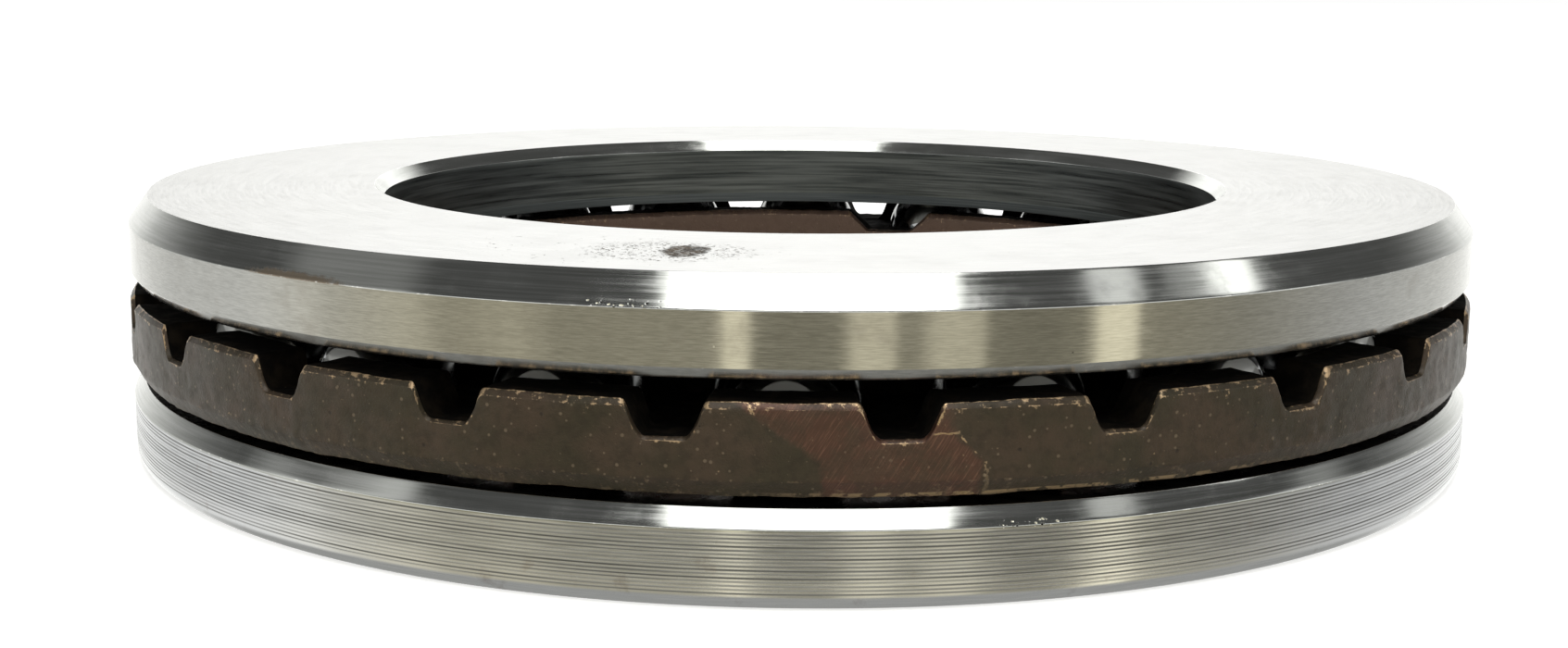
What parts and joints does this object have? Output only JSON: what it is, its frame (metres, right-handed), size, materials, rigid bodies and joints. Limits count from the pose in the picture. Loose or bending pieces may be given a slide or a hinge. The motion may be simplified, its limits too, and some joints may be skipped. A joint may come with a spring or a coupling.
{
  "type": "thrust ball bearing",
  "caption": "Single-direction thrust ball bearing: two grooved steel washers with a ball row between them in a toothed bronze cage, for axial load on a shaft.",
  "frame": {"origin": "centre of the housing washer's seating face, on the bearing axis", "axes": "+Z along the bearing axis, from the housing washer to the shaft washer; X and Y are alike"},
  "size_m": [0.2, 0.2, 0.0375],
  "materials": {
    "ground_steel": "fine ground faces with a polished chamfer",
    "turned_steel": "finely turned outside with a polished chamfer",
    "ball_steel": "mirror polished",
    "cast_bronze": "dark cast bronze, worn bright along its edges"
  },
  "bodies": {
    "housing_washer": {"housing_washer": "turned_steel"},
    "shaft_washer": {"shaft_washer": "ground_steel"},
    "cage": {"cage": "cast_bronze"},
    "ball_01": {"ball_01": "ball_steel"},
    "ball_02": {"ball_02": "ball_steel"},
    "ball_03": {"ball_03": "ball_steel"},
    "ball_04": {"ball_04": "ball_steel"},
    "ball_05": {"ball_05": "ball_steel"},
    "ball_06": {"ball_06": "ball_steel"},
    "ball_07": {"ball_07": "ball_steel"},
    "ball_08": {"ball_08": "ball_steel"},
    "ball_09": {"ball_09": "ball_steel"},
    "ball_10": {"ball_10": "ball_steel"},
    "ball_11": {"ball_11": "ball_steel"},
    "ball_12": {"ball_12": "ball_steel"},
    "ball_13": {"ball_13": "ball_steel"},
    "ball_14": {"ball_14": "ball_steel"},
    "ball_15": {"ball_15": "ball_steel"},
    "ball_16": {"ball_16": "ball_steel"},
    "ball_17": {"ball_17": "ball_steel"},
    "ball_18": {"ball_18": "ball_steel"},
    "ball_19": {"ball_19": "ball_steel"},
    "ball_20": {"ball_20": "ball_steel"}
  },
  "joints": [
    {"name": "shaft_turn", "type": "hinge", "parent": "housing_washer", "child": "shaft_washer", "pos_m": [0, 0, 0.03175], "axis": [0, 0, 1], "continuous": true},
    {"name": "cage_turn", "type": "hinge", "parent": "housing_washer", "child": "cage", "pos_m": [0, 0, 0.0182], "axis": [0, 0, 1], "continuous": true},
    {"name": "ball_01_spin", "type": "hinge", "parent": "cage", "child": "ball_01", "pos_m": [-0.00147, -0.08399, 0.01875], "axis": [-0.0175, -0.9998, 0], "continuous": true},
    {"name": "ball_02_spin", "type": "hinge", "parent": "cage", "child": "ball_02", "pos_m": [0.02456, -0.08033, 0.01875], "axis": [0.2924, -0.9563, 0], "continuous": true},
    {"name": "ball_03_spin", "type": "hinge", "parent": "cage", "child": "ball_03", "pos_m": [0.04818, -0.06881, 0.01875], "axis": [0.5736, -0.8192, 0], "continuous": true},
    {"name": "ball_04_spin", "type": "hinge", "parent": "cage", "child": "ball_04", "pos_m": [0.06709, -0.05055, 0.01875], "axis": [0.7986, -0.6018, 0], "continuous": true},
    {"name": "ball_05_spin", "type": "hinge", "parent": "cage", "child": "ball_05", "pos_m": [0.07942, -0.02735, 0.01875], "axis": [0.9455, -0.3256, 0], "continuous": true},
    {"name": "ball_06_spin", "type": "hinge", "parent": "cage", "child": "ball_06", "pos_m": [0.08399, -0.00147, 0.01875], "axis": [0.9998, -0.0175, 0], "continuous": true},
    {"name": "ball_07_spin", "type": "hinge", "parent": "cage", "child": "ball_07", "pos_m": [0.08033, 0.02456, 0.01875], "axis": [0.9563, 0.2924, 0], "continuous": true},
    {"name": "ball_08_spin", "type": "hinge", "parent": "cage", "child": "ball_08", "pos_m": [0.06881, 0.04818, 0.01875], "axis": [0.8192, 0.5736, 0], "continuous": true},
    {"name": "ball_09_spin", "type": "hinge", "parent": "cage", "child": "ball_09", "pos_m": [0.05055, 0.06709, 0.01875], "axis": [0.6018, 0.7986, 0], "continuous": true},
    {"name": "ball_10_spin", "type": "hinge", "parent": "cage", "child": "ball_10", "pos_m": [0.02735, 0.07942, 0.01875], "axis": [0.3256, 0.9455, 0], "continuous": true},
    {"name": "ball_11_spin", "type": "hinge", "parent": "cage", "child": "ball_11", "pos_m": [0.00147, 0.08399, 0.01875], "axis": [0.0175, 0.9998, 0], "continuous": true},
    {"name": "ball_12_spin", "type": "hinge", "parent": "cage", "child": "ball_12", "pos_m": [-0.02456, 0.08033, 0.01875], "axis": [-0.2924, 0.9563, 0], "continuous": true},
    {"name": "ball_13_spin", "type": "hinge", "parent": "cage", "child": "ball_13", "pos_m": [-0.04818, 0.06881, 0.01875], "axis": [-0.5736, 0.8192, 0], "continuous": true},
    {"name": "ball_14_spin", "type": "hinge", "parent": "cage", "child": "ball_14", "pos_m": [-0.06709, 0.05055, 0.01875], "axis": [-0.7986, 0.6018, 0], "continuous": true},
    {"name": "ball_15_spin", "type": "hinge", "parent": "cage", "child": "ball_15", "pos_m": [-0.07942, 0.02735, 0.01875], "axis": [-0.9455, 0.3256, 0], "continuous": true},
    {"name": "ball_16_spin", "type": "hinge", "parent": "cage", "child": "ball_16", "pos_m": [-0.08399, 0.00147, 0.01875], "axis": [-0.9998, 0.0175, 0], "continuous": true},
    {"name": "ball_17_spin", "type": "hinge", "parent": "cage", "child": "ball_17", "pos_m": [-0.08033, -0.02456, 0.01875], "axis": [-0.9563, -0.2924, 0], "continuous": true},
    {"name": "ball_18_spin", "type": "hinge", "parent": "cage", "child": "ball_18", "pos_m": [-0.06881, -0.04818, 0.01875], "axis": [-0.8192, -0.5736, 0], "continuous": true},
    {"name": "ball_19_spin", "type": "hinge", "parent": "cage", "child": "ball_19", "pos_m": [-0.05055, -0.06709, 0.01875], "axis": [-0.6018, -0.7986, 0], "continuous": true},
    {"name": "ball_20_spin", "type": "hinge", "parent": "cage", "child": "ball_20", "pos_m": [-0.02735, -0.07942, 0.01875], "axis": [-0.3256, -0.9455, 0], "continuous": true}
  ],
  "couplings": [
    {"joint": "cage_turn", "follows": "shaft_turn", "ratio": 0.5},
    {"joint": "ball_01_spin", "follows": "shaft_turn", "ratio": -4.4094},
    {"joint": "ball_02_spin", "follows": "shaft_turn", "ratio": -4.4094},
    {"joint": "ball_03_spin", "follows": "shaft_turn", "ratio": -4.4094},
    {"joint": "ball_04_spin", "follows": "shaft_turn", "ratio": -4.4094},
    {"joint": "ball_05_spin", "follows": "shaft_turn", "ratio": -4.4094},
    {"joint": "ball_06_spin", "follows": "shaft_turn", "ratio": -4.4094},
    {"joint": "ball_07_spin", "follows": "shaft_turn", "ratio": -4.4094},
    {"joint": "ball_08_spin", "follows": "shaft_turn", "ratio": -4.4094},
    {"joint": "ball_09_spin", "follows": "shaft_turn", "ratio": -4.4094},
    {"joint": "ball_10_spin", "follows": "shaft_turn", "ratio": -4.4094},
    {"joint": "ball_11_spin", "follows": "shaft_turn", "ratio": -4.4094},
    {"joint": "ball_12_spin", "follows": "shaft_turn", "ratio": -4.4094},
    {"joint": "ball_13_spin", "follows": "shaft_turn", "ratio": -4.4094},
    {"joint": "ball_14_spin", "follows": "shaft_turn", "ratio": -4.4094},
    {"joint": "ball_15_spin", "follows": "shaft_turn", "ratio": -4.4094},
    {"joint": "ball_16_spin", "follows": "shaft_turn", "ratio": -4.4094},
    {"joint": "ball_17_spin", "follows": "shaft_turn", "ratio": -4.4094},
    {"joint": "ball_18_spin", "follows": "shaft_turn", "ratio": -4.4094},
    {"joint": "ball_19_spin", "follows": "shaft_turn", "ratio": -4.4094},
    {"joint": "ball_20_spin", "follows": "shaft_turn", "ratio": -4.4094}
  ]
}
